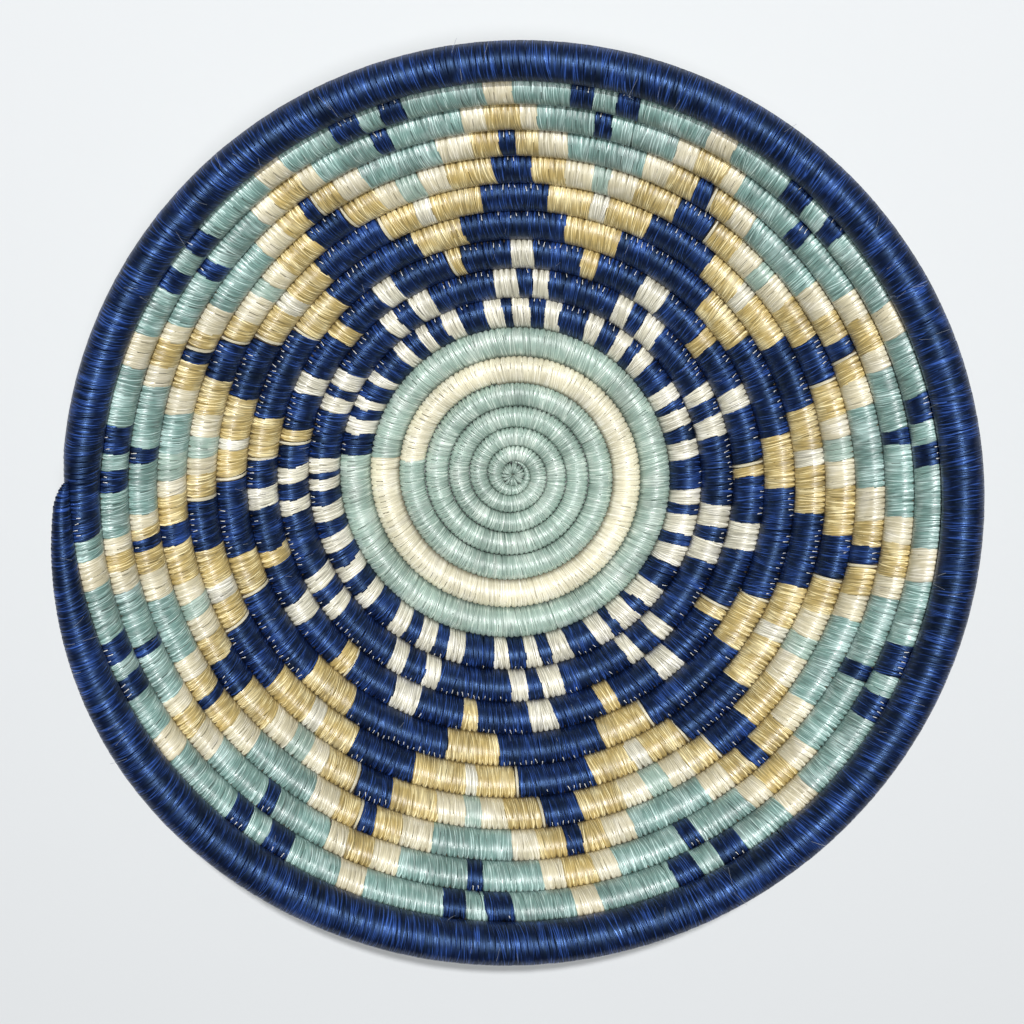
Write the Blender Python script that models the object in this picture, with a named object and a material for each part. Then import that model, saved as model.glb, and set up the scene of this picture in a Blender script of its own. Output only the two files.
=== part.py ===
"""A coiled bowl basket: one long bundle of grass wound out from a knot, each turn bound in sisal."""

import math

import bmesh
import bpy
import numpy as np
from mathutils import Matrix, Vector

# Turns of the coil: widths run along the wall, thicknesses square to it (metres)
START_WIDTH = 0.0051
ROW_WIDTH = 0.01165
START_THICKNESS = 0.0048
ROW_THICKNESS = 0.0104
FULL_SIZE_TURN = 7

# Knot that the coil starts from
KNOT_RADIUS = 0.0036
KNOT_EDGE = 0.0012

# Wall, as its underside runs from the axis to the rim
BASE_RADIUS = 0.047
FOOT_BEND_RADIUS = 0.041
FOOT_SLOPE = math.radians(22)
WALL_CURVE_RADIUS = 0.195

# Rows of the design, counted in turns
CENTRE_ROWS = 4
PATTERN_ROWS = 9

# Rim: thin where it starts, swelling along its turn, and tapering to a tail that runs past its start
RIM_LEAD = math.radians(11)
RIM_DIAMETER = 0.0121
RIM_END_DIAMETER = 0.0147
RIM_SWELL = math.radians(4)
TAIL_OVERLAP = math.radians(7)
TAIL_TAPER = math.radians(50)
TAIL_END_DIAMETER = 0.0042

# Binding round the bundle, and the gaps that keep the pieces apart
BINDING_THICKNESS = 0.0009
BUNDLE_CLEARANCE = 0.0004
TURN_GAP = 0.0005
END_GAP = 0.0005

# Side on which each turn ends and the next starts, seen from above, and the facets of the model
SEAM_ANGLE = math.radians(172)
TURN_POINTS = 24
COARSE_TURNS = 2
COIL_SIDES = 6

FULL_TURN = 2 * math.pi
FLAT_REACH = math.cos(math.pi / COIL_SIDES)
RIM_START = CENTRE_ROWS + 2 + PATTERN_ROWS - RIM_LEAD / FULL_TURN
RIM_END = RIM_START + 1 + TAIL_OVERLAP / FULL_TURN

# Colours of the fibres
TEAL = (0.25, 0.42, 0.36)
CREAM = (0.80, 0.70, 0.50)
GOLD = (0.60, 0.45, 0.17)
NAVY = (0.014, 0.024, 0.11)
GRASS = (0.36, 0.25, 0.11)

# Name and main colour of each bound row, from the knot outwards
CENTRE_NAMES = [f"centre_binding_{row}" for row in range(1, CENTRE_ROWS + 1)]
PATTERN_COLOURS = [NAVY, NAVY, NAVY, NAVY, GOLD, GOLD, TEAL, TEAL, TEAL]


def inner_edge(turn):
    """How far along the wall the coil's inner edge lies from the axis, after so many turns."""
    growing = min(turn, FULL_SIZE_TURN)
    widening = (ROW_WIDTH - START_WIDTH) / FULL_SIZE_TURN
    wound = START_WIDTH * growing + widening * growing**2 / 2
    return KNOT_RADIUS + wound + ROW_WIDTH * (turn - growing)


def wall_at(distance):
    """Radius, height and slope of the wall at a distance along it: flat base, foot bend, curved side."""
    if distance <= BASE_RADIUS:
        return distance, 0.0, 0.0
    bend = min((distance - BASE_RADIUS) / FOOT_BEND_RADIUS, FOOT_SLOPE)
    beyond = distance - BASE_RADIUS - bend * FOOT_BEND_RADIUS
    slope = bend + beyond / WALL_CURVE_RADIUS
    radius = BASE_RADIUS + FOOT_BEND_RADIUS * math.sin(bend)
    radius += WALL_CURVE_RADIUS * (math.sin(slope) - math.sin(bend))
    height = FOOT_BEND_RADIUS * (1 - math.cos(bend))
    height += WALL_CURVE_RADIUS * (math.cos(bend) - math.cos(slope))
    return radius, height, slope


def rim_diameter(turn):
    """The rim's diameter: it swells along its turn, and the tail tapers like the end of a brush."""
    along = (turn - RIM_START) / (RIM_END - RIM_START)
    full = RIM_DIAMETER + (RIM_END_DIAMETER - RIM_DIAMETER) * along
    left = (RIM_END - turn) * FULL_TURN / TAIL_TAPER
    taper = 1 - max(0.0, 1 - left) ** 2
    return TAIL_END_DIAMETER + (full - TAIL_END_DIAMETER) * taper


def row_thickness(turn):
    """Thickness of a row after so many turns, leaving out the rim's swelling."""
    return START_THICKNESS + (ROW_THICKNESS - START_THICKNESS) * min(turn / FULL_SIZE_TURN, 1)


def coil_size(turn):
    """Width and thickness of the coil after so many turns."""
    width = inner_edge(turn + 1) - inner_edge(turn)
    thickness = row_thickness(turn)
    past_tail = (turn - RIM_START) * FULL_TURN - TAIL_OVERLAP
    swell = min(max(past_tail / RIM_SWELL, 0), 1)
    width += (rim_diameter(turn) - width) * swell
    thickness += (rim_diameter(turn) - thickness) * swell
    return width, thickness


def section(turn, inset):
    """Places a circle of radius 1 as the coil's cut in the plane through the axis, smaller by the inset."""
    width, thickness = coil_size(turn)
    middle = inner_edge(turn) + width / 2
    radius, height, _ = wall_at(middle)
    # The cut leans as the wall does at its underside's inner edge, so that it never dips below the base
    _, _, slope = wall_at(middle - width / 4)
    angle = SEAM_ANGLE - FULL_TURN * turn
    outward = Vector((math.cos(angle), math.sin(angle), 0))
    along = Vector((math.sin(angle), -math.cos(angle), 0))
    up = Vector((0, 0, 1))
    across = outward * math.cos(slope) + up * math.sin(slope)
    square = up * math.cos(slope) - outward * math.sin(slope)
    centre = outward * radius + up * (height + row_thickness(turn) / 2)
    half_width = (width - TURN_GAP) / 2 - inset / FLAT_REACH
    half_thickness = (thickness / 2 - inset) / FLAT_REACH
    axes = Matrix((square * half_thickness, across * half_width, along)).transposed()
    return Matrix.Translation(centre) @ axes.to_4x4()


def stations(first, last):
    """The turn counts at which the coil is cut, in planes that neighbouring turns share.

    The small inner turns are cut at every second plane only.
    """
    joins = [RIM_START + angle / FULL_TURN for angle in (0, TAIL_OVERLAP, TAIL_OVERLAP + RIM_SWELL, FULL_TURN)]
    fixed = [first, last] + [turn for turn in joins if first < turn < last]
    clear = 0.2 / TURN_POINTS
    steps = range(math.ceil(RIM_END * TURN_POINTS))
    grid = [step / TURN_POINTS for step in steps if step % 2 == 0 or step > COARSE_TURNS * TURN_POINTS]
    free = [turn for turn in grid if first < turn < last and min(abs(turn - t) for t in fixed) > clear]
    return sorted(fixed + free)


def corners(shape_part, kind):
    """The elements of one kind in an operator's result."""
    return [element for element in shape_part if isinstance(element, kind)]


def coil_tube(first, last, inset):
    """A tube along the coil, extruded from cut to cut, as a closed bmesh, with its two end faces."""
    shape = bmesh.new()
    bmesh.ops.create_circle(shape, cap_ends=True, segments=COIL_SIDES, radius=1)
    start_face = shape.faces[:]
    edges = shape.edges[:]
    turns = stations(first, last)
    bmesh.ops.transform(shape, matrix=section(turns[0], inset), verts=shape.verts[:])
    for before, after in zip(turns, turns[1:]):
        grown = bmesh.ops.extrude_edge_only(shape, edges=edges)["geom"]
        move = section(after, inset) @ section(before, inset).inverted()
        bmesh.ops.transform(shape, matrix=move, verts=corners(grown, bmesh.types.BMVert))
        edges = corners(grown, bmesh.types.BMEdge)
    end_face = bmesh.ops.edgeloop_fill(shape, edges=edges)["faces"]
    bmesh.ops.recalc_face_normals(shape, faces=shape.faces[:])
    return shape, start_face + end_face


def finish(name, colour, roughness):
    """A matt fibre material."""
    material = bpy.data.materials.new(name)
    material.use_nodes = True
    shader = material.node_tree.nodes["Principled BSDF"]
    shader.inputs["Base Color"].default_value = (*colour, 1)
    shader.inputs["Roughness"].default_value = roughness
    shader.inputs["Metallic"].default_value = 0
    return material


def place(name, shape, colour, roughness=0.55):
    """Makes the bmesh a named object with its own material."""
    mesh = bpy.data.meshes.new(name)
    shape.to_mesh(mesh)
    shape.free()
    mesh.materials.append(finish(name + "_finish", colour, roughness))
    mesh.shade_smooth()
    piece = bpy.data.objects.new(name, mesh)
    bpy.context.scene.collection.objects.link(piece)
    return piece


def half_gap(turn):
    """Half the gap between two bound rows that meet end to end, in turns."""
    radius, _, _ = wall_at(inner_edge(turn + 0.5))
    return END_GAP / 2 / (FULL_TURN * radius)


def binding(name, first, last, colour):
    """The sisal bound round one row: an open sleeve whose wall grows inwards."""
    shape, ends = coil_tube(first + half_gap(first), last - half_gap(last), 0)
    bmesh.ops.delete(shape, geom=ends, context="FACES_ONLY")
    sleeve = place(name, shape, colour)
    wall = sleeve.modifiers.new("wall", "SOLIDIFY")
    wall.thickness = BINDING_THICKNESS
    wall.offset = -1
    wall.use_even_offset = True
    wall.use_rim = True
    return sleeve


def bundle():
    """The grass inside, one unbroken length from the knot to the rim's tail."""
    inset = BINDING_THICKNESS + BUNDLE_CLEARANCE
    shape, _ = coil_tube(half_gap(0), RIM_END - half_gap(RIM_END), inset)
    return place("grass_bundle", shape, GRASS, roughness=0.8)


def knot():
    """The sewn start: a rounded plug whose outline spirals out to the coil's first turn."""
    shape = bmesh.new()
    for turn in stations(0, 1 - 2 * half_gap(0)):
        angle = SEAM_ANGLE - FULL_TURN * turn
        radius = inner_edge(turn) - TURN_GAP / 2
        shape.verts.new((radius * math.cos(angle), radius * math.sin(angle), 0))
    base = bmesh.ops.contextual_create(shape, geom=shape.verts[:])["faces"]
    raised = bmesh.ops.extrude_face_region(shape, geom=base)["geom"]
    top = corners(raised, bmesh.types.BMVert)
    bmesh.ops.translate(shape, vec=(0, 0, START_THICKNESS), verts=top)
    bmesh.ops.recalc_face_normals(shape, faces=shape.faces[:])
    rounded = [edge for edge in shape.edges if all(vert in top for vert in edge.verts)]
    bmesh.ops.bevel(
        shape, geom=rounded, offset=KNOT_EDGE, segments=1, profile=0.5, affect="EDGES", material=-1
    )
    return place("centre_knot", shape, TEAL)


def rows():
    """Each bound row's name, first turn, last turn and colour, from the knot to the rim's tail."""
    names = CENTRE_NAMES + ["cream_ring_binding", "teal_ring_binding"]
    names += [f"pattern_binding_{row}" for row in range(1, PATTERN_ROWS + 1)]
    colours = [TEAL] * CENTRE_ROWS + [CREAM, TEAL]
    colours += [PATTERN_COLOURS[row % len(PATTERN_COLOURS)] for row in range(PATTERN_ROWS)]
    for turn, (name, colour) in enumerate(zip(names, colours)):
        yield name, turn, min(turn + 1, RIM_START), colour
    yield "rim_binding", RIM_START, RIM_END, NAVY


def least_gap():
    """The least distance between points of the coil that lie half a turn or more apart along it."""
    turns = np.array(stations(0, RIM_END))
    ring = [Vector((math.sin(k * FULL_TURN / COIL_SIDES), math.cos(k * FULL_TURN / COIL_SIDES), 0))
            for k in range(COIL_SIDES)]
    points = np.array([[tuple(section(turn, 0) @ corner) for corner in ring] for turn in turns])
    least = math.inf
    for turn, cut in zip(turns, points):
        others = points[turns > turn + 0.5].reshape(-1, 1, 3)
        if len(others):
            least = min(least, float(np.linalg.norm(others - cut, axis=2).min()))
    return least


def main():
    for old in list(bpy.data.objects):
        bpy.data.objects.remove(old)
    knot()
    bundle()
    for name, first, last, colour in rows():
        binding(name, first, last, colour)
    print(f"least gap between turns of the coil: {least_gap() * 1000:.2f} mm")


main()
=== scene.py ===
"""Looks of the coiled basket.

A spiral core of dry grass, sewn round with some four thousand stitches of dyed sisal.
"""

import bisect
import math
import random

import bmesh
import bpy
import numpy as np
from mathutils import Matrix, Vector


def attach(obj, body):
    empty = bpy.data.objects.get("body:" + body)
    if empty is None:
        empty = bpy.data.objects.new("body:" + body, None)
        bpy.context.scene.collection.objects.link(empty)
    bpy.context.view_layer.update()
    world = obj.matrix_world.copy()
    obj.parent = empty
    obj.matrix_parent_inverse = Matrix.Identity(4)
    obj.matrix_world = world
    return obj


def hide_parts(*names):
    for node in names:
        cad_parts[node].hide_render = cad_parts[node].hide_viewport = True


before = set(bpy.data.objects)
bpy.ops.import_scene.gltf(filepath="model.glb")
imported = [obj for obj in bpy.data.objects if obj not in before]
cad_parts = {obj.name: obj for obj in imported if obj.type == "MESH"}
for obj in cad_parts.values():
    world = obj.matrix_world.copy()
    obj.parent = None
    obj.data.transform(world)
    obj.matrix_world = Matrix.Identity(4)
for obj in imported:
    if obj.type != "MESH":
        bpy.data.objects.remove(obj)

FULL_TURN = 2 * math.pi

# The coil, as the fixed model winds it (metres; widths run along the wall, thicknesses square to it)
START_WIDTH = 0.0051
ROW_WIDTH = 0.01165
START_THICKNESS = 0.0048
ROW_THICKNESS = 0.0104
FULL_SIZE_TURN = 7
KNOT_RADIUS = 0.0036
BASE_RADIUS = 0.047
FOOT_BEND_RADIUS = 0.041
FOOT_SLOPE = math.radians(22)
WALL_CURVE_RADIUS = 0.195
SEAM_ANGLE = 172
RIM_START = 15 - 11 / 360
RIM_END = RIM_START + 1 + 7 / 360
RIM_DIAMETER = 0.0121
RIM_END_DIAMETER = 0.0147
TAIL_OVERLAP = math.radians(7)
RIM_SWELL = math.radians(4)
TAIL_TAPER = math.radians(50)
TAIL_END_DIAMETER = 0.0042
TAIL_CLOSING = math.radians(3.6)

# Limits of the coil: its greatest thickness as a share of its width, how far its tail closes, and the ends of
# the tail, in turns, that have upright stitches and no hairs, and that no stitch starts in
THICKEST_CUT = 1.2
TAIL_CUT = 0.02
TAIL_END = 0.02
SEWN_END = 0.0001

# Start of the coil: a rosette of strands round a small hole, and the thin end of the coil laid round it
ROSETTE_HOLE = 0.0002
ROSETTE_RADIUS = 0.0044
ROSETTE_STRANDS = 28
COIL_START = -0.8
ROSETTE_UNEVENNESS = 0.25
ROSETTE_REACHES = (0.9, 1.14)
ROSETTE_HOLES = (0.4, 1.6)
ROSETTE_LEAN = 0.12

# One stitch: a flat strand that closes round the coil, and overlaps its neighbours. Its cut is a five-sided
# shape, with two corners on the crown, two at the shoulders and one at the back. The outer end has a notch
# on each side, where the next row is sewn through, and the inner end comes up between two older stitches.
# In the wall's rows, which taper less, the inner end also grips the row before, so that no light passes.
STRAND_STEPS = 14
STRAND_CORNERS = 5
ABOVE_BACK = -0.5
ABOVE_SHOULDERS = 0.5
STRAND_CROWN = 0.036
STRAND_SHOULDER = 0.031
STRAND_BACK = 0.13
STRAND_WIDTH = 1.5
STRAND_BOW = 0.16
NOTCH_START = 0.72
CENTRE_NOTCH_START = 0.45
CENTRE_TAPER = 0.3
NOTCH_DEPTH = 0.26
NOTCH_NARROWING = 0.75
INNER_START = 0.38
INNER_DEPTH = 0.07
INNER_REACH = 1.04
ROW_GRIP = 0.15
GRIP_SHARPNESS = 8
WALL_TAPER = 0.12
TAPER_STEP = 0.05

# Painted shade: how dark a stitch is painted along its seams, on its crown at both ends, and along its inner
# end's seams
SEAM_SHADE = 0.03
CREASE_SHADE = 0.12
INNER_SHADE = 0.6

# Each stitch has its own square of the strand map, a little wider than the strand; they repeat after so many
MAP_HALF_WIDTH = 0.49
MAP_SQUARES = 997

# How the stitches follow one another along the coil, and how unevenly they were sewn
CENTRE_PITCH = 0.0011
ROW_PITCH = 0.00186
TAIL_PITCH_SHARE = 0.2
FULL_PITCH_TURN = 5
SEWING_SEED = 11
SNAP_REACH = 0.3
CENTRE_OVERLAP = 0.1
UNEVENNESS = 0.05
CENTRE_EVENNESS = 0.3
PALE_START_CHANCE = 0.5
PALE_START_WIDTH = 0.4
ROSETTE_SINK = 0.06
ROW_SINK = 0.015
STITCH_SHRINK = 0.02

# Lean of the stitches in degrees: at the centre, what the outer rows and the rim add, and its waves
CENTRE_LEAN = 5.5
ROW_LEAN = 2.3
FULL_LEAN_TURN = 9
RIM_LEAN = 3
RIM_LEAN_TURN = 14
WAVE_LEAN = 1.3
LEAN_WAVES = (9.7, 23.1)
FULL_WAVE_TURN = 8

# Ends of pale thread that show in the notches between navy stitches: their size, share, place and angle
THREAD_LENGTH = 0.0015
THREAD_SPREAD = (0.6, 1.4)
THREAD_RADIUS = 0.00015
THREAD_TIP = 0.4
THREAD_SHARE = 0.6
THREAD_SWING = 0.8
THREAD_WAVES = (31, 47)
THREAD_PLACES = (46, 62)
THREAD_REACH = 1.07
THREAD_TURN = 0.25

# Loose hairs: on the rim, in a few tufts there, and on the navy rows inside
HAIR_RADIUS = 0.00006
HAIR_STEPS = 5
HAIRS = 110
HAIR_TUFTS = (9, 30, 114, 150, 196, 262, 300)
RIM_HAIR_LEANS = (-60, 95)
ROW_HAIR_LEANS = (-30, 40)
RIM_HAIR_LENGTHS = (0.003, 0.006)
ROW_HAIR_LENGTHS = (0.002, 0.0035)
HAIR_ROOT = 0.98
HAIR_SPREAD = 0.3
HAIR_RISES = (0.05, 0.4)
HAIR_DROOP = 1.15

# Core of grass under the strands, and the plug that fills its middle
CORE_INSET = 0.0007
CORE_LEAST = 0.5
CORE_SIDES = 10
CORE_POINTS = 72
PLUG_INSET = CORE_INSET * 2.8

# The camera: its direction from the base of the basket, its distance, its lens and the picture's shift
CAMERA_DIRECTION = (-0.0175, 0.1736, 0.98466)
CAMERA_DISTANCE = 0.7395
BASE_CENTRE = (0, 0, 0.0045)
LENS_LENGTH = 73.44
PICTURE_SHIFT = (-0.0008, -36.6 / 1024)

# The lamps over the bowl, with place, size and watts; the strength of the pale room's light, where the lamps
# give the rest; and the colour that the room shows the camera
LAMPS = {
    "front_lamp": ((0.05, 0.12, 2.0), 0.4, 18.6),
    "back_lamp": ((0, 0.62, 1.75), 0.05, 24.8),
}
BOWL_MIDDLE = (0, 0, 0.03)
ROOM_LIGHT = 0.055
BACKGROUND = (0.80, 0.83, 0.84, 1)

# The floor: its colour, and how far from the basket's axis it starts and ends to go over to the background
PAPER = (0.70, 0.72, 0.735, 1)
NEAR_FLOOR = 0.4
FAR_FLOOR = 1.3

# Fibres on the strand map: how many lie side by side and how often they change along the strand, their share
# in the mix, how far a strand's fibres run askew, and the limits between which streaks and patches show
COARSE_FIBRES = (7, 2)
FINE_FIBRES = (13, 5)
COARSE_SHARE = 0.55
FINE_SHARE = 0.45
FIBRE_SKEW = 2.4
STREAK_LIMITS = (0.36, 0.64)
PATCH_LIMITS = (0.35, 0.65)
PATCH_SCALE = 75

# Pale strands, fibres and patches: how pale each makes the dye, and the limits between which it shows
PALE_STRAND = 0.25
PALE_FIBRE = 0.8
PALE_FIBRE_LIMITS = (0.54, 0.68)
PALE_PATCH = 0.4
PALE_PATCH_LIMITS = (0.5, 0.72)
PALE_PATCH_SCALE = 130

# Shine and relief of sisal and grass, and how sharply the painted shade of the notches sets in
NOTCH_SHADE_SHARPNESS = 1.2
SISAL_ROUGHNESS = 0.42
STREAK_ROUGHNESS = 0.2
SISAL_IOR = 1.6
BUMP_HEIGHT = 0.0003
SISAL_BUMP = 0.8
GRASS_BUMP = 0.6
STEM_SCALE = 900

# Each dyed sisal: the dye, its pale fibres, and the colour of the painted shade in its notches, seams and
# back;
# then the share of pale strands, the depth of the streaks, of the change from strand to strand and of the
# patches; then the colour and strength of its shine
PLAIN_SHINE = (1, 1, 1)
SISALS = {
    "teal": ("teal_sisal", (0.305, 0.425, 0.36), (0.60, 0.68, 0.61), (0.012, 0.03, 0.026),
             0.10, 0.5, 0.08, 0.25, PLAIN_SHINE, 0.9),
    "deep teal": ("deep_teal_sisal", (0.172, 0.302, 0.272), (0.49, 0.63, 0.60), (0.012, 0.03, 0.028),
                  0.10, 0.7, 0.10, 0.35, PLAIN_SHINE, 1.0),
    "pale cream": ("pale_cream_sisal", (0.76, 0.71, 0.51), (0.92, 0.89, 0.76), (0.08, 0.05, 0.02),
                   0.15, 0.3, 0.08, 0.2, PLAIN_SHINE, 0.9),
    "cream": ("cream_sisal", (0.62, 0.56, 0.38), (0.86, 0.82, 0.69), (0.07, 0.045, 0.018),
              0.15, 0.35, 0.08, 0.2, PLAIN_SHINE, 1.0),
    "white": ("white_sisal", (0.63, 0.60, 0.47), (0.90, 0.88, 0.80), (0.02, 0.02, 0.018),
              0.15, 0.6, 0.10, 0.2, PLAIN_SHINE, 1.0),
    "gold": ("gold_sisal", (0.48, 0.355, 0.122), (0.90, 0.80, 0.48), (0.035, 0.018, 0.005),
             0.12, 0.65, 0.08, 0.25, PLAIN_SHINE, 1.0),
    "navy": ("navy_sisal", (0.0018, 0.004, 0.020), (0.020, 0.052, 0.20), (0.0005, 0.001, 0.004),
             0.08, 1.6, 0.35, 0.5, (0.26, 0.48, 1.0), 0.74),
    "bleached": ("bleached_sisal", (0.92, 0.92, 0.88), (0.95, 0.95, 0.94), (0.4, 0.4, 0.36),
                 0.15, 0.3, 0.1, 0.1, PLAIN_SHINE, 0.8),
    "loose": ("loose_fibre", (0.20, 0.24, 0.34), (0.55, 0.58, 0.62), (0.1, 0.1, 0.1),
              0.15, 0.3, 0.1, 0.1, PLAIN_SHINE, 0.8),
}

# The turns at which the plain rings of the centre change their dye, and at which the stars start
CREAM_RING_TURN = 4
TEAL_RING_TURN = 5
FIRST_DESIGN_TURN = 6

# The eleven stars: the basket angle of each one's foot, in the first row of the design, and of its point, in
# the seventh
STAR_FEET = (19.2, 51.5, 86.5, 121.1, 152.0, 181.3, 209.4, 241.5, 275.4, 308.5, 344.2)
STAR_POINTS = (24.9, 58.7, 90.9, 124.8, 155.9, 186.6, 212.9, 245.2, 279.0, 312.2, 350.1)
POINT_ROW = 7

# Each row of the design, as dyes and the share of the way from one star to the next at which each ends
DESIGN = (
    ((0.08, "white"), (0.21, "navy"), (0.37, "white"), (0.63, "navy"), (0.79, "white"), (0.92, "navy"),
     (1, "white")),
    ((0.068, "navy"), (0.222, "white"), (0.778, "navy"), (0.932, "white"), (1, "navy")),
    ((0.088, "white"), (0.438, "navy"), (0.554, "gold"), (0.912, "navy"), (1, "white")),
    ((0.341, "navy"), (0.681, "gold"), (1, "navy")),
    ((0.206, "navy"), (0.478, "gold"), (0.565, "white"), (0.803, "gold"), (1, "navy")),
    ((0.107, "navy"), (0.335, "gold"), (0.475, "cream"), (0.576, "teal"), (0.707, "cream"), (0.893, "gold"),
     (1, "navy")),
    ((0.038, "navy"), (0.18, "gold"), (0.325, "cream"), (0.712, "teal"), (0.838, "cream"), (0.967, "gold"),
     (1, "navy")),
    ((0.069, "gold"), (0.181, "cream"), (0.497, "teal"), (0.57, "navy"), (0.841, "teal"), (0.931, "cream"),
     (1, "gold")),
    ((0.059, "cream"), (0.38, "teal"), (0.483, "navy"), (0.573, "teal"), (0.689, "navy"), (0.93, "teal"),
     (1, "cream")),
)

# Where the turns meet, the sewing goes over to the next row's design a little early: the first and last turn
# of each change, and its dye
SEAM_CHANGES = (
    (6.912, 6.918, "navy"), (6.926, 6.932, "white"), (6.965, 6.970, "navy"), (6.978, 6.986, "navy"),
    (6.986, 6.997, "white"), (6.997, 7.000, "navy"), (8.994, 9.000, "gold"), (9.982, 10.000, "gold"),
    (10.974, 10.988, "gold"), (10.988, 10.997, "cream"), (10.997, 11.000, "teal"), (11.952, 11.956, "gold"),
    (11.966, 11.978, "gold"), (11.978, 11.986, "cream"), (11.986, 12.000, "teal"), (12.961, 12.967, "gold"),
    (12.967, 12.973, "cream"), (12.973, 12.995, "teal"), (12.995, 13.0025, "navy"), (13.960, 13.967, "cream"),
    (13.967, 13.984, "teal"), (13.984, 13.993, "navy"), (13.993, 14.000, "teal"), (14.000, 14.010, "navy"),
)
DYES = ("teal", "deep teal", "pale cream", "cream", "white", "gold", "navy")
DEEP_TEAL_TURN = 12

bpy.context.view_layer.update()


# The coil


def limited(share):
    """A share, kept between 0 and 1."""
    return min(max(share, 0), 1)


def inner_edge(turn):
    """How far along the wall the coil's inner edge lies from the axis, after so many turns."""
    if turn < 0:
        return KNOT_RADIUS + (ROSETTE_RADIUS - KNOT_RADIUS) * turn / COIL_START
    growing = min(turn, FULL_SIZE_TURN)
    widening = (ROW_WIDTH - START_WIDTH) / FULL_SIZE_TURN
    return KNOT_RADIUS + START_WIDTH * growing + widening * growing**2 / 2 + ROW_WIDTH * (turn - growing)


def wall_at(distance):
    """Radius, height and slope of the wall's underside at a distance along it."""
    if distance <= BASE_RADIUS:
        return distance, 0.0, 0.0
    bend = min((distance - BASE_RADIUS) / FOOT_BEND_RADIUS, FOOT_SLOPE)
    slope = bend + (distance - BASE_RADIUS - bend * FOOT_BEND_RADIUS) / WALL_CURVE_RADIUS
    radius = BASE_RADIUS + FOOT_BEND_RADIUS * math.sin(bend)
    radius += WALL_CURVE_RADIUS * (math.sin(slope) - math.sin(bend))
    height = FOOT_BEND_RADIUS * (1 - math.cos(bend))
    height += WALL_CURVE_RADIUS * (math.cos(bend) - math.cos(slope))
    return radius, height, slope


def row_thickness(turn):
    return START_THICKNESS + (ROW_THICKNESS - START_THICKNESS) * limited(turn / FULL_SIZE_TURN)


def rim_diameter(turn):
    """The rim swells along its turn and tapers to its tail."""
    along = (turn - RIM_START) / (RIM_END - RIM_START)
    full = RIM_DIAMETER + (RIM_END_DIAMETER - RIM_DIAMETER) * along
    left = (RIM_END - turn) * FULL_TURN / TAIL_TAPER
    taper = 1 - max(0.0, 1 - left) ** 2
    return TAIL_END_DIAMETER + (full - TAIL_END_DIAMETER) * taper


def coil_size(turn):
    """Width and thickness of the coil. The last stitches close over the tail's end."""
    width = inner_edge(turn + 1) - inner_edge(turn)
    thickness = min(row_thickness(turn), width * THICKEST_CUT)
    swell = limited(((turn - RIM_START) * FULL_TURN - TAIL_OVERLAP) / RIM_SWELL)
    width += (rim_diameter(turn) - width) * swell
    thickness += (rim_diameter(turn) - thickness) * swell
    left = max((RIM_END - turn) * FULL_TURN / TAIL_CLOSING, TAIL_CUT)
    closing = math.sqrt(1 - max(0, 1 - left) ** 2)
    return width * closing, thickness * closing


def coil_cut(turn):
    """The coil's cut after so many turns: centre, half sizes, directions, and its radius in the middle."""
    width, thickness = coil_size(turn)
    middle = inner_edge(turn) + width / 2
    radius, height, _ = wall_at(middle)
    _, _, slope = wall_at(middle - width / 4)
    outward, back = directions_at(math.radians(SEAM_ANGLE) - FULL_TURN * turn)
    up = Vector((0, 0, 1))
    across = outward * math.cos(slope) + up * math.sin(slope)
    square = up * math.cos(slope) - outward * math.sin(slope)
    centre = outward * radius + up * (height + row_thickness(turn) / 2)
    return centre, width / 2, thickness / 2, across, back, square, radius


def directions_at(angle):
    """Away from the basket's axis, and back along the coil, at an angle round the basket."""
    return Vector((math.cos(angle), math.sin(angle), 0)), Vector((-math.sin(angle), math.cos(angle), 0))


# The sewing


def dye_at(turn):
    """The dye of the strand after so many turns."""
    if turn < CREAM_RING_TURN or TEAL_RING_TURN <= turn < FIRST_DESIGN_TURN:
        return "teal"
    if turn < TEAL_RING_TURN:
        return "pale cream"
    if turn >= RIM_START:
        return "navy"
    row = int(turn) - FIRST_DESIGN_TURN
    angle = (SEAM_ANGLE - 360 * turn) % 360
    stars = [foot + (point - foot) * row / (POINT_ROW - 1) for foot, point in zip(STAR_FEET, STAR_POINTS)]
    stars = [stars[-1] - 360] + stars + [stars[0] + 360]
    star = bisect.bisect(stars, angle) - 1
    share = (angle - stars[star]) / (stars[star + 1] - stars[star])
    dye = next(dye for end, dye in DESIGN[row] if share <= end)
    dye = next((change for first, last, change in SEAM_CHANGES if first <= turn < last), dye)
    return "deep teal" if dye == "teal" and turn >= DEEP_TEAL_TURN else dye


def pitch_at(turn):
    """How far apart neighbouring stitches lie along the coil."""
    share = (turn - COIL_START) / (FULL_PITCH_TURN - COIL_START)
    return CENTRE_PITCH + (ROW_PITCH - CENTRE_PITCH) * min(share, 1)


def lean_at(turn):
    """How far a stitch's outer end lies behind its inner end. It leans more in the outer rows and the rim."""
    slow, quick = LEAN_WAVES
    wave = (math.sin(turn * slow) + math.sin(turn * quick + 1)) * limited(turn / FULL_WAVE_TURN)
    degrees = CENTRE_LEAN + ROW_LEAN * limited(turn / FULL_LEAN_TURN)
    degrees += RIM_LEAN * limited(turn - RIM_LEAN_TURN)
    degrees += WAVE_LEAN * wave
    degrees *= limited((RIM_END - turn) / TAIL_END)
    return math.tan(math.radians(degrees)) * (inner_edge(turn + 1) - inner_edge(turn))


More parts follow.
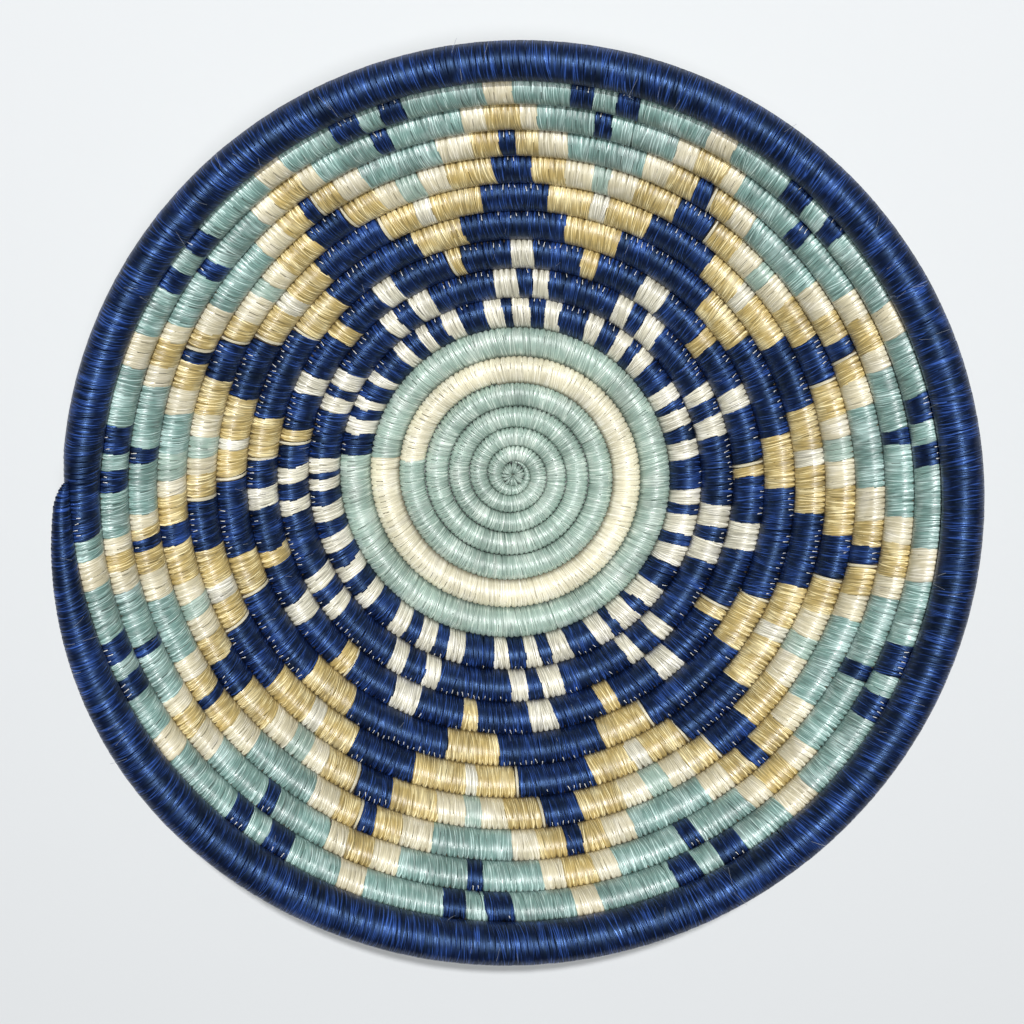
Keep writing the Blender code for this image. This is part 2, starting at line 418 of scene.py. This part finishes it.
class Stitch:
    """One stitch: where it lies on the coil, its dye, and how far back along the coil its two ends are."""

    def __init__(self, cut, dye, half_pitch, outer_back=0.0, inner_back=0.0):
        self.cut = cut
        self.dye = dye
        self.half_pitch = half_pitch
        self.slant = (outer_back - inner_back) / 2
        self.shift = (outer_back + inner_back) / 2

    def place(self, bulge=1.0, spread=1.0):
        """Puts a shape that reaches 1 across and square to the wall, with neighbours 2 apart, on the coil."""
        centre, half_width, half_thickness, across, back, square, _ = self.cut
        across = across * half_width * spread / (1 + STRAND_CROWN) + back * self.slant
        square = square * half_thickness * bulge / (1 + STRAND_CROWN)
        axes = Matrix((across, back * self.half_pitch, square)).transposed().to_4x4()
        return Matrix.Translation(centre + back * self.shift) @ axes


def sew_coil():
    """Every stitch round the coil in the order of sewing, with the turn at which it lies."""
    hand = random.Random(SEWING_SEED)
    outer_ends = []
    last_dye = "teal"
    turn = COIL_START
    while turn < RIM_END - SEWN_END:
        cut = coil_cut(turn)
        _, half_width, _, across, _, _, radius = cut
        reach = half_width * math.hypot(across.x, across.y)
        closing = min((RIM_END - turn) * FULL_TURN / TAIL_CLOSING, 1)
        pitch = pitch_at(turn) * (TAIL_PITCH_SHARE + (1 - TAIL_PITCH_SHARE) * closing)
        grown = limited(turn / FULL_PITCH_TURN)
        loose = UNEVENNESS * (CENTRE_EVENNESS + (1 - CENTRE_EVENNESS) * grown)
        outer_round = FULL_TURN * (radius + reach)
        inner_round = FULL_TURN * (radius - reach)
        outer = turn - (lean_at(turn) / 2 + hand.gauss(0, loose) * pitch) / outer_round
        inner = turn + lean_at(turn) / 2 / inner_round
        before = bisect.bisect(outer_ends, inner - 1)
        if 0 < before < len(outer_ends):
            gap = (outer_ends[before - 1] + outer_ends[before]) / 2 + 1
            most = SNAP_REACH * grown * pitch / inner_round
            inner += min(max(gap - inner, -most), most) + hand.gauss(0, loose) * pitch / inner_round
        outer_ends.append(outer)
        half_pitch = pitch / 2 * (1 + hand.gauss(0, loose) + CENTRE_OVERLAP * (1 - grown))
        dye = dye_at(turn)
        pale_start = last_dye == "navy" and dye == "gold" and hand.random() < PALE_START_CHANCE
        last_dye = dye
        if pale_start:
            dye, half_pitch = "cream", half_pitch * PALE_START_WIDTH
        yield turn, Stitch(cut, dye, half_pitch, (turn - outer) * outer_round, (turn - inner) * inner_round)
        turn += pitch / (FULL_TURN * radius)


def sew_rosette():
    """The strands that start the work, like spokes round a small hole."""
    hand = random.Random("rosette")
    up = Vector((0, 0, 1))
    for spoke in range(ROSETTE_STRANDS):
        place = spoke + hand.uniform(-ROSETTE_UNEVENNESS, ROSETTE_UNEVENNESS)
        outward, back = directions_at(FULL_TURN * place / ROSETTE_STRANDS)
        reach = ROSETTE_RADIUS * hand.uniform(*ROSETTE_REACHES)
        middle = (reach + ROSETTE_HOLE * hand.uniform(*ROSETTE_HOLES)) / 2
        centre = outward * middle + up * START_THICKNESS / 2
        cut = centre, reach - middle, START_THICKNESS / 2, outward, back, up, middle
        lean = reach * hand.uniform(-ROSETTE_LEAN, ROSETTE_LEAN)
        yield Stitch(cut, "teal", FULL_TURN * middle / ROSETTE_STRANDS / 2, lean)


def strand_ring(taper, notched):
    """One stitch as a closed band round a coil that reaches 1 each way, with neighbours 2 apart.

    x runs outwards across the wall, z up from it, and y back along the coil. Taper narrows the inner half,
    for the small rows of the centre.
    """
    ring = bmesh.new()
    stand = Matrix.Translation((0, 0, 1)) @ Matrix.Rotation(math.pi / 2, 4, "Y")
    flat = Matrix.Diagonal((STRAND_CROWN, 1, 1, 1)) @ Matrix.Rotation(-math.pi / 2, 4, "Z")
    bmesh.ops.create_circle(ring, cap_ends=False, segments=STRAND_CORNERS, radius=1, matrix=stand @ flat)
    bmesh.ops.spin(
        ring, geom=ring.verts[:] + ring.edges[:], cent=(0, 0, 0), axis=(0, 1, 0), dvec=(0, 0, 0),
        angle=FULL_TURN, steps=STRAND_STEPS, use_merge=True,
    )
    bmesh.ops.recalc_face_normals(ring, faces=ring.faces[:])
    fibres = ring.loops.layers.uv.new("strand")
    # depth: how far each point is painted over to its dark notch colour, as painted shade
    depth = ring.verts.layers.float.new("depth")
    for face in ring.faces:
        face.smooth = min(level_of(vert) for vert in face.verts) > ABOVE_BACK
        rounds = [math.atan2(loop.vert.co.x, loop.vert.co.z) / FULL_TURN + 0.5 for loop in face.loops]
        crosses = max(rounds) - min(rounds) > 0.5
        for loop, part in zip(face.loops, rounds):
            part += 1 if crosses and part < 0.5 else 0
            loop[fibres].uv = (0.5 + loop.vert.co.y * MAP_HALF_WIDTH, part)
    for vert in ring.verts:
        lay_on_coil(vert, depth, taper, notched)
    return ring


def level_of(vert):
    """Whether a point of the plain ring is its back (-1), a shoulder (-0.3) or on the crown (0.8)."""
    return (math.hypot(vert.co.x, vert.co.z) - 1) / STRAND_CROWN


def lay_on_coil(vert, depth, taper, notched):
    """Moves a point of the plain ring to its place in the stitch's own shape, and sets its painted shade."""
    level = level_of(vert)
    round_coil = math.atan2(vert.co.x, vert.co.z)
    out, up = math.sin(round_coil), math.cos(round_coil)
    start = NOTCH_START + (CENTRE_NOTCH_START - NOTCH_START) * min(taper / CENTRE_TAPER, 1)
    notch = max(0, out - start) / (1 - start) if notched else 0
    inner = max(0, -out - INNER_START + taper / 2) / (1 - INNER_START) if notched else 0
    width = STRAND_WIDTH * (1 + taper * out)
    # Painted shade in depth: a little on the crown at both ends, more on the notches and seams, full on the
    # back
    if level > ABOVE_SHOULDERS:
        lift = STRAND_CROWN
        width *= 1 - NOTCH_NARROWING * notch
        vert[depth] = CREASE_SHADE * max(notch, inner)
    elif level > ABOVE_BACK:
        lift = STRAND_SHOULDER - NOTCH_DEPTH * notch - INNER_DEPTH * inner
        vert[depth] = SEAM_SHADE + (1 - SEAM_SHADE) * max(notch, inner * INNER_SHADE)
    else:
        lift = -STRAND_BACK
        vert[depth] = 1
    along = vert.co.y * width + STRAND_BOW * (1 - out * out)
    # The inner end that grips the row before is painted in full shade as well
    grip = max(0, -out) ** GRIP_SHARPNESS if taper < WALL_TAPER else 0
    vert[depth] = max(vert[depth], grip)
    reach = 1 if out > 0 else INNER_REACH + ROW_GRIP * grip
    vert.co = (out * reach * (1 + lift), along, up * (1 + lift))


def sew_piece(name, stitches, rings, scratch, first_number):
    """Some stitches as one mesh. Each stitch has its own square of the strand map."""
    row = bmesh.new()
    hand = random.Random(name)
    sink = ROSETTE_SINK if name == "centre_rosette" else ROW_SINK
    for number, stitch in enumerate(stitches, first_number):
        _, half_width, half_thickness, across, _, _, radius = stitch.cut
        taper = round(half_width * math.hypot(across.x, across.y) / radius / TAPER_STEP)
        ring, fibres = rings(taper, name != "rim_stitches", stitch.dye)
        ring.to_mesh(scratch)
        moved = fibres.copy()
        moved[0::2] += number % MAP_SQUARES
        moved[1::2] *= (half_width + half_thickness) / ROW_THICKNESS
        scratch.uv_layers["strand"].uv.foreach_set("vector", moved)
        scratch.transform(stitch.place(1 - hand.uniform(0, sink), 1 - hand.uniform(0, STITCH_SHRINK)))
        row.from_mesh(scratch)
    return make_piece(name, row)


def ring_store():
    """Makes each shape of stitch once, in each dye that asks for it."""
    made = {}

    def rings(taper, notched, dye):
        if (taper, notched, dye) not in made:
            ring = strand_ring(taper * TAPER_STEP, notched)
            for face in ring.faces:
                face.material_index = DYES.index(dye)
            layer = ring.loops.layers.uv["strand"]
            fibres = np.array([loop[layer].uv[:] for face in ring.faces for loop in face.loops]).ravel()
            made[taper, notched, dye] = ring, fibres
        return made[taper, notched, dye]

    return rings


def grass_core():
    """The bundle of grass inside, one smooth length under the strands from the centre to the rim's tail."""
    tube = bmesh.new()
    bmesh.ops.create_circle(tube, cap_ends=True, segments=CORE_SIDES, radius=1)
    length = RIM_END - TAIL_CLOSING / FULL_TURN - COIL_START
    steps = int(length * CORE_POINTS)
    places = [core_cut(COIL_START + length * step / steps) for step in range(steps + 1)]
    bmesh.ops.transform(tube, matrix=places[0], verts=tube.verts[:])
    draw_out(tube, tube.edges[:], places)
    wide, thick = ROSETTE_RADIUS - CORE_INSET, START_THICKNESS / 2 - PLUG_INSET
    plug = Matrix.Translation((0, 0, START_THICKNESS / 2)) @ Matrix.Diagonal((wide, wide, thick, 1))
    bmesh.ops.create_uvsphere(tube, u_segments=16, v_segments=8, radius=1, matrix=plug)
    bmesh.ops.recalc_face_normals(tube, faces=tube.faces[:])
    piece = make_piece("grass_core", tube)
    piece.data.shade_smooth()
    return piece


def core_cut(turn):
    """Places a circle of radius 1 as the core's cut, under the strands."""
    centre, half_width, half_thickness, across, back, square, _ = coil_cut(turn)
    wide = max(half_width - CORE_INSET, half_width * CORE_LEAST)
    thick = max(half_thickness - CORE_INSET, half_thickness * CORE_LEAST)
    axes = Matrix((across * wide, square * thick, back * -1)).transposed().to_4x4()
    return Matrix.Translation(centre) @ axes


def draw_out(shape, edges, places):
    """Draws a ring of edges at the first place out to a tube through the others, and closes its end."""
    for before, after in zip(places, places[1:]):
        grown = bmesh.ops.extrude_edge_only(shape, edges=edges)["geom"]
        verts = [part for part in grown if isinstance(part, bmesh.types.BMVert)]
        bmesh.ops.transform(shape, matrix=after @ before.inverted(), verts=verts)
        edges = [part for part in grown if isinstance(part, bmesh.types.BMEdge)]
    bmesh.ops.edgeloop_fill(shape, edges=edges)


def thread_ends(coil):
    """Short ends of pale thread in the notches between navy stitches."""
    threads = bmesh.new()
    hand = random.Random("threads")
    slow, quick = THREAD_WAVES
    for (turn, stitch), (_, following) in zip(coil, coil[1:]):
        share = THREAD_SHARE * (1 + THREAD_SWING * math.sin(turn * slow) * math.sin(turn * quick))
        if stitch.dye != "navy" or following.dye != "navy" or turn + 1 >= RIM_END:
            continue
        if hand.random() > share:
            continue
        half_width, half_thickness = stitch.cut[1:3]
        round_coil = math.radians(hand.uniform(*THREAD_PLACES))
        out, up = math.sin(round_coil), math.cos(round_coil)
        length = THREAD_LENGTH * hand.uniform(*THREAD_SPREAD)
        unit = Matrix.Diagonal((1 / half_width, 1 / stitch.half_pitch, 1 / half_thickness, 1))
        lie = Matrix.Translation((out * THREAD_REACH, -1, up * THREAD_REACH)) @ unit
        lie = lie @ Matrix.Rotation(hand.uniform(-THREAD_TURN, THREAD_TURN), 4, (out, 0, up))
        lie = lie @ Matrix.Rotation(round_coil, 4, "Y") @ Matrix.Rotation(math.pi / 2, 4, "Y")
        bmesh.ops.create_cone(
            threads, cap_ends=True, segments=4, radius1=THREAD_RADIUS, radius2=THREAD_RADIUS * THREAD_TIP,
            depth=length, matrix=stitch.place() @ lie,
        )
    bmesh.ops.recalc_face_normals(threads, faces=threads.faces[:])
    return make_piece("thread_ends", threads)


def loose_fibres(coil):
    """Stray hairs that stand off the strands, most of them round the rim."""
    hairs = bmesh.new()
    hand = random.Random("hairs")
    rows = [stitch for turn, stitch in coil if stitch.dye == "navy" and turn < RIM_START]
    rim = [stitch for turn, stitch in coil if RIM_START < turn < RIM_END - TAIL_END]
    tufts = [min(rim, key=lambda stitch: away_from(stitch, math.radians(tuft))) for tuft in HAIR_TUFTS]
    for number in range(HAIRS):
        stitch = hand.choice((rim, rim, tufts, rows, rows)[number % 5])
        centre, half_width, half_thickness, across, back, square, _ = stitch.cut
        on_rim = stitch in rim
        lean = math.radians(hand.uniform(*(RIM_HAIR_LEANS if on_rim else ROW_HAIR_LEANS)))
        root = across * half_width * math.sin(lean) + square * half_thickness * math.cos(lean)
        side = (across * math.cos(lean) - square * math.sin(lean)) * hand.choice((-1, 1))
        side += back * hand.gauss(0, HAIR_SPREAD)
        length = hand.uniform(*(RIM_HAIR_LENGTHS if on_rim else ROW_HAIR_LENGTHS))
        rise = hand.uniform(*HAIR_RISES)
        add_hair(hairs, centre + root * HAIR_ROOT, root.normalized(), side.normalized(), length, rise)
    bmesh.ops.recalc_face_normals(hairs, faces=hairs.faces[:])
    return make_piece("loose_fibres", hairs)


def away_from(stitch, angle):
    """How far a stitch lies from an angle round the basket, from -1 at the angle to 1 on the far side."""
    centre = stitch.cut[0]
    return -(centre.x * math.cos(angle) + centre.y * math.sin(angle)) / math.hypot(centre.x, centre.y)


def add_hair(hairs, root, away, side, length, rise):
    """One hair: a thin three-sided tube that leaves the surface and bends over."""
    circle = bmesh.ops.create_circle(hairs, cap_ends=True, segments=3, radius=HAIR_RADIUS)["verts"]
    edges = list(dict.fromkeys(edge for vert in circle for edge in vert.link_edges))
    shares = [step / HAIR_STEPS for step in range(HAIR_STEPS + 1)]
    points = [root + side * length * part + away * length * rise * part * (HAIR_DROOP - part)
              for part in shares]
    turns = [(after - before).to_track_quat("Z", "Y").to_matrix().to_4x4()
             for before, after in zip(points, points[1:])]
    places = [Matrix.Translation(point) @ turn for point, turn in zip(points, turns + turns[-1:])]
    bmesh.ops.transform(hairs, matrix=places[0], verts=circle)
    draw_out(hairs, edges, places)


def make_piece(name, shape):
    """Turns a shape into a piece of the scene."""
    mesh = bpy.data.meshes.new(name)
    shape.to_mesh(mesh)
    shape.free()
    piece = bpy.data.objects.new(name, mesh)
    bpy.context.scene.collection.objects.link(piece)
    return piece


# Finishes


class Nodes:
    """Adds nodes to one tree, left to right."""

    def __init__(self, tree):
        self.tree = tree

    def add(self, kind, inputs=(), **settings):
        node = self.tree.nodes.new(kind)
        node.location = (len(self.tree.nodes) * 190, 0)
        for name, value in settings.items():
            setattr(node, name, value)
        for socket, value in dict(inputs).items():
            if isinstance(value, bpy.types.NodeSocket):
                self.tree.links.new(value, node.inputs[socket])
            else:
                node.inputs[socket].default_value = value
        return node

    def math(self, operation, first, second=0.0, third=0.0):
        inputs = {0: first, 1: second, 2: third}
        return self.add("ShaderNodeMath", inputs, operation=operation).outputs[0]

    def between(self, value, low, high):
        """Value from 0 to 1 between two limits, with soft ends."""
        limits = {"Value": value, "From Min": low, "From Max": high}
        return self.add("ShaderNodeMapRange", limits, interpolation_type="SMOOTHSTEP").outputs["Result"]

    def mix(self, share, first, second, blend="MIX"):
        inputs = {0: share, 6: first, 7: second}
        return self.add("ShaderNodeMix", inputs, data_type="RGBA", blend_type=blend).outputs[2]

    def chance(self, seed):
        """A number from 0 to 1 that is the same wherever the seed is the same."""
        return self.add("ShaderNodeTexWhiteNoise", {"W": seed}, noise_dimensions="1D").outputs["Value"]

    def vary(self, tone, value, depth):
        """Adds to a tone what a value from 0 to 1 departs from its middle, times a depth."""
        return self.math("MULTIPLY_ADD", self.math("SUBTRACT", value, 0.5), depth, tone)


def sisal_fibres():
    """Fibres that run along each strand: their colour, shine and height, from the strand map."""
    group = bpy.data.node_groups.new("sisal_fibres", "ShaderNodeTree")
    for name in ("Dye", "Pale Dye", "Painted Shade"):
        group.interface.new_socket(name=name, in_out="INPUT", socket_type="NodeSocketColor")
    for name in ("Pale Share", "Streak Depth", "Strand Change", "Patch Depth"):
        group.interface.new_socket(name=name, in_out="INPUT", socket_type="NodeSocketFloat")
    group.interface.new_socket(name="Colour", in_out="OUTPUT", socket_type="NodeSocketColor")
    group.interface.new_socket(name="Roughness", in_out="OUTPUT", socket_type="NodeSocketFloat")
    group.interface.new_socket(name="Height", in_out="OUTPUT", socket_type="NodeSocketFloat")
    nodes = Nodes(group)
    given = nodes.add("NodeGroupInput").outputs
    strand_map = nodes.add("ShaderNodeUVMap", uv_map="strand").outputs[0]
    across, along = nodes.add("ShaderNodeSeparateXYZ", {0: strand_map}).outputs[:2]
    strand = nodes.math("FLOOR", across)
    change = nodes.chance(strand)
    luck = nodes.chance(nodes.math("ADD", strand, 0.37))
    skew = nodes.math("MULTIPLY", nodes.math("SUBTRACT", luck, 0.5), FIBRE_SKEW)
    skewed = nodes.math("MULTIPLY_ADD", skew, along, across)
    coarse = nodes.math("MULTIPLY", fibre_noise(nodes, skewed, along, *COARSE_FIBRES), COARSE_SHARE)
    fine = nodes.math("MULTIPLY", fibre_noise(nodes, skewed, along, *FINE_FIBRES), FINE_SHARE)
    fibre = nodes.math("ADD", coarse, fine)
    streak = nodes.between(fibre, *STREAK_LIMITS)
    patch = nodes.between(object_noise(nodes, PATCH_SCALE), *PATCH_LIMITS)
    least_luck = nodes.math("SUBTRACT", 1, given["Pale Share"])
    pale_strand = nodes.math("MULTIPLY", nodes.between(luck, least_luck, 1), PALE_STRAND)
    pale_fibre = nodes.math("MULTIPLY", nodes.between(fibre, *PALE_FIBRE_LIMITS), PALE_FIBRE)
    pale_patch = nodes.between(object_noise(nodes, PALE_PATCH_SCALE), *PALE_PATCH_LIMITS)
    pale_patch = nodes.math("MULTIPLY", pale_patch, PALE_PATCH)
    pale = nodes.math("ADD", nodes.math("ADD", pale_strand, pale_fibre), pale_patch)
    colour = nodes.mix(nodes.math("MINIMUM", pale, 1), given["Dye"], given["Pale Dye"])
    tone = nodes.vary(1, streak, given["Streak Depth"])
    tone = nodes.vary(tone, change, given["Strand Change"])
    tone = nodes.vary(tone, patch, given["Patch Depth"])
    tone = nodes.add("ShaderNodeCombineXYZ", {0: tone, 1: tone, 2: tone}).outputs[0]
    colour = nodes.mix(1.0, colour, tone, "MULTIPLY")
    # Painted shade: where depth says, the colour goes over to the dark notch colour
    depth = nodes.add("ShaderNodeAttribute", attribute_name="depth").outputs["Fac"]
    colour = nodes.mix(nodes.math("POWER", depth, NOTCH_SHADE_SHARPNESS), colour, given["Painted Shade"])
    dull = nodes.math("SUBTRACT", 0.5, streak)
    roughness = nodes.math("MULTIPLY_ADD", dull, STREAK_ROUGHNESS, SISAL_ROUGHNESS)
    nodes.add("NodeGroupOutput", {"Colour": colour, "Roughness": roughness, "Height": fibre})
    return group


def fibre_noise(nodes, across, along, fineness, length):
    """Noise drawn out along the strand."""
    width_part = nodes.math("MULTIPLY", across, fineness)
    length_part = nodes.math("MULTIPLY", along, length)
    place = nodes.add("ShaderNodeCombineXYZ", {0: width_part, 1: length_part, 2: fineness}).outputs[0]
    return plain_noise(nodes, place, 1, 0)


def object_noise(nodes, scale, detail=1):
    """Noise that lies still on the basket, for what crosses from strand to strand."""
    return plain_noise(nodes, nodes.add("ShaderNodeTexCoord").outputs["Object"], scale, detail)


def plain_noise(nodes, place, scale, detail):
    inputs = {"Vector": place, "Scale": float(scale), "Detail": float(detail)}
    return nodes.add("ShaderNodeTexNoise", inputs).outputs[0]


def sisal(fibres, name, dye, pale, notch, pale_share, streak_depth, change, patch_depth, shine, gloss):
    """Dyed sisal: satin fibres in one dye, with some that took it less, and shade painted in its notches and
    seams.
    """
    material, nodes, shader = plain_finish(name, SISAL_ROUGHNESS)
    group = nodes.add("ShaderNodeGroup", node_tree=fibres)
    # notch is the colour of the shade painted in the notches, seams and back
    for socket, colour in (("Dye", dye), ("Pale Dye", pale), ("Painted Shade", notch)):
        group.inputs[socket].default_value = (*colour, 1)
    group.inputs["Pale Share"].default_value = pale_share
    group.inputs["Streak Depth"].default_value = streak_depth
    group.inputs["Strand Change"].default_value = change
    group.inputs["Patch Depth"].default_value = patch_depth
    nodes.tree.links.new(group.outputs["Colour"], shader.inputs["Base Color"])
    nodes.tree.links.new(group.outputs["Roughness"], shader.inputs["Roughness"])
    add_relief(nodes, shader, group.outputs["Height"], SISAL_BUMP)
    shader.inputs["IOR"].default_value = SISAL_IOR
    shader.inputs["Specular IOR Level"].default_value = gloss
    shader.inputs["Specular Tint"].default_value = (*shine, 1)
    return material


def plain_finish(name, roughness):
    material = bpy.data.materials.new(name)
    material.use_nodes = True
    shader = material.node_tree.nodes["Principled BSDF"]
    shader.inputs["Roughness"].default_value = roughness
    return material, Nodes(material.node_tree), shader


def add_relief(nodes, shader, height, strength):
    """Fine relief on a finish, from a height that changes over the surface."""
    inputs = {"Height": height, "Distance": BUMP_HEIGHT, "Strength": strength}
    nodes.tree.links.new(nodes.add("ShaderNodeBump", inputs).outputs[0], shader.inputs["Normal"])


def grass_in_painted_shade():
    """Straw, painted much darker as shade for the gaps between stitches where it shows, with stems along the
    core.
    """
    material, nodes, shader = plain_finish("grass_in_painted_shade", 0.8)
    stems = object_noise(nodes, STEM_SCALE, 3)
    # Both colours are far darker than dry straw: painted shade
    colour = nodes.mix(stems, (0.03, 0.02, 0.008, 1), (0.16, 0.11, 0.05, 1))
    nodes.tree.links.new(colour, shader.inputs["Base Color"])
    add_relief(nodes, shader, stems, GRASS_BUMP)
    return material


def backdrop_paper():
    """Matt pale paper for the floor. Far from the basket it goes over to the room's plain background."""
    material, nodes, shader = plain_finish("backdrop_paper", 0.9)
    shader.inputs["Base Color"].default_value = PAPER
    shader.inputs["Specular IOR Level"].default_value = 0.1
    place = nodes.add("ShaderNodeTexCoord").outputs["Object"]
    away = nodes.add("ShaderNodeVectorMath", {0: place}, operation="LENGTH").outputs["Value"]
    seen = nodes.add("ShaderNodeLightPath").outputs["Is Camera Ray"]
    far = nodes.math("MULTIPLY", nodes.between(away, NEAR_FLOOR, FAR_FLOOR), seen)
    plain = nodes.add("ShaderNodeEmission", {"Color": BACKGROUND}).outputs[0]
    floor = nodes.add("ShaderNodeMixShader", {0: far, 1: shader.outputs[0], 2: plain}).outputs[0]
    nodes.tree.links.new(floor, nodes.tree.nodes["Material Output"].inputs["Surface"])
    return material


# The set


def photograph_camera():
    """The camera, nearly overhead and a little towards the top of the picture."""
    eye = Vector(CAMERA_DIRECTION).normalized()
    lens = bpy.data.cameras.new("camera")
    lens.sensor_width = 36
    lens.lens = LENS_LENGTH
    lens.shift_x, lens.shift_y = PICTURE_SHIFT
    lens.clip_start = 0.01
    lens.clip_end = 20
    camera = bpy.data.objects.new("camera", lens)
    right = Vector((0, 1, 0)).cross(eye).normalized()
    axes = Matrix((right, eye.cross(right), eye)).transposed().to_4x4()
    camera.matrix_world = Matrix.Translation(Vector(BASE_CENTRE) + eye * CAMERA_DISTANCE) @ axes
    bpy.context.scene.collection.objects.link(camera)
    bpy.context.scene.camera = camera


def soft_lamp(name, place, size, watts):
    """A round lamp that points at the middle of the bowl."""
    lamp = bpy.data.lights.new(name, "AREA")
    lamp.shape = "DISK"
    lamp.size = size
    lamp.energy = watts
    holder = bpy.data.objects.new(name, lamp)
    holder.location = place
    holder.rotation_euler = (Vector(BOWL_MIDDLE) - Vector(place)).to_track_quat("-Z", "Y").to_euler()
    bpy.context.scene.collection.objects.link(holder)


def studio():
    """Pale floor, an even pale room, one broad soft lamp above and a small one above the picture's top."""
    ground = bmesh.new()
    bmesh.ops.create_grid(ground, x_segments=2, y_segments=2, size=4)
    floor = make_piece("floor", ground)
    floor.data.materials.append(backdrop_paper())
    for name, (place, size, watts) in LAMPS.items():
        soft_lamp(name, place, size, watts)
    world = bpy.data.worlds.new("room")
    world.use_nodes = True
    bpy.context.scene.world = world
    nodes = Nodes(world.node_tree)
    seen = nodes.add("ShaderNodeLightPath").outputs["Is Camera Ray"]
    colour = nodes.mix(seen, (1, 1, 1, 1), BACKGROUND)
    background = world.node_tree.nodes["Background"]
    strength = nodes.math("MULTIPLY_ADD", seen, 1 - ROOM_LIGHT, ROOM_LIGHT)
    nodes.tree.links.new(colour, background.inputs["Color"])
    nodes.tree.links.new(strength, background.inputs["Strength"])


# Making


def dress_rows(coil, finishes):
    """Sews each row, from its name, the node that it stands for, its slot, and its first and last turn."""
    table = [("centre_rosette", "centre_knot", "teal_sisal", -1, 0)]
    table += [(f"centre_stitches_{row}", f"centre_binding_{row}", "teal_sisal", row - 1, row)
              for row in range(1, CREAM_RING_TURN + 1)]
    table += [("cream_ring_stitches", "cream_ring_binding", "cream_sisal", CREAM_RING_TURN, TEAL_RING_TURN)]
    table += [("teal_ring_stitches", "teal_ring_binding", "teal_sisal", TEAL_RING_TURN, FIRST_DESIGN_TURN)]
    for row in range(1, len(DESIGN) + 1):
        first = FIRST_DESIGN_TURN - 1 + row
        last = min(first + 1, RIM_START)
        table += [(f"pattern_stitches_{row}", f"pattern_binding_{row}", "pattern_sisal", first, last)]
    table += [("rim_stitches", "rim_binding", "navy_sisal", RIM_START, RIM_END + 1)]
    scratch = bpy.data.meshes.new("scratch")
    rings = ring_store()
    sewn = 0
    for name, node, slot, first, last in table:
        stitches = list(sew_rosette()) if node == "centre_knot" else []
        stitches += [stitch for turn, stitch in coil if first <= turn < last]
        piece = sew_piece(name, stitches, rings, scratch, sewn)
        for dye in DYES:
            piece.data.materials.append(finishes[dye])
        settle(piece, node, slot)
        sewn += len(stitches)
    bpy.data.meshes.remove(scratch)
    print("stitches:", sewn)


def settle(piece, node, slot):
    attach(piece, "root")
    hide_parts(node)


def main():
    bpy.context.scene.view_settings.view_transform = "Standard"
    photograph_camera()
    studio()
    fibres = sisal_fibres()
    finishes = {dye: sisal(fibres, *finish) for dye, finish in SISALS.items()}
    coil = list(sew_coil())
    dress_rows(coil, finishes)
    threads = thread_ends(coil)
    threads.data.materials.append(finishes["bleached"])
    settle(threads, "grass_bundle", "cream_sisal")
    hairs = loose_fibres(coil)
    hairs.data.materials.append(finishes["loose"])
    settle(hairs, "rim_binding", "navy_sisal")
    core = grass_core()
    core.data.materials.append(grass_in_painted_shade())
    settle(core, "grass_bundle", "grass")


main()
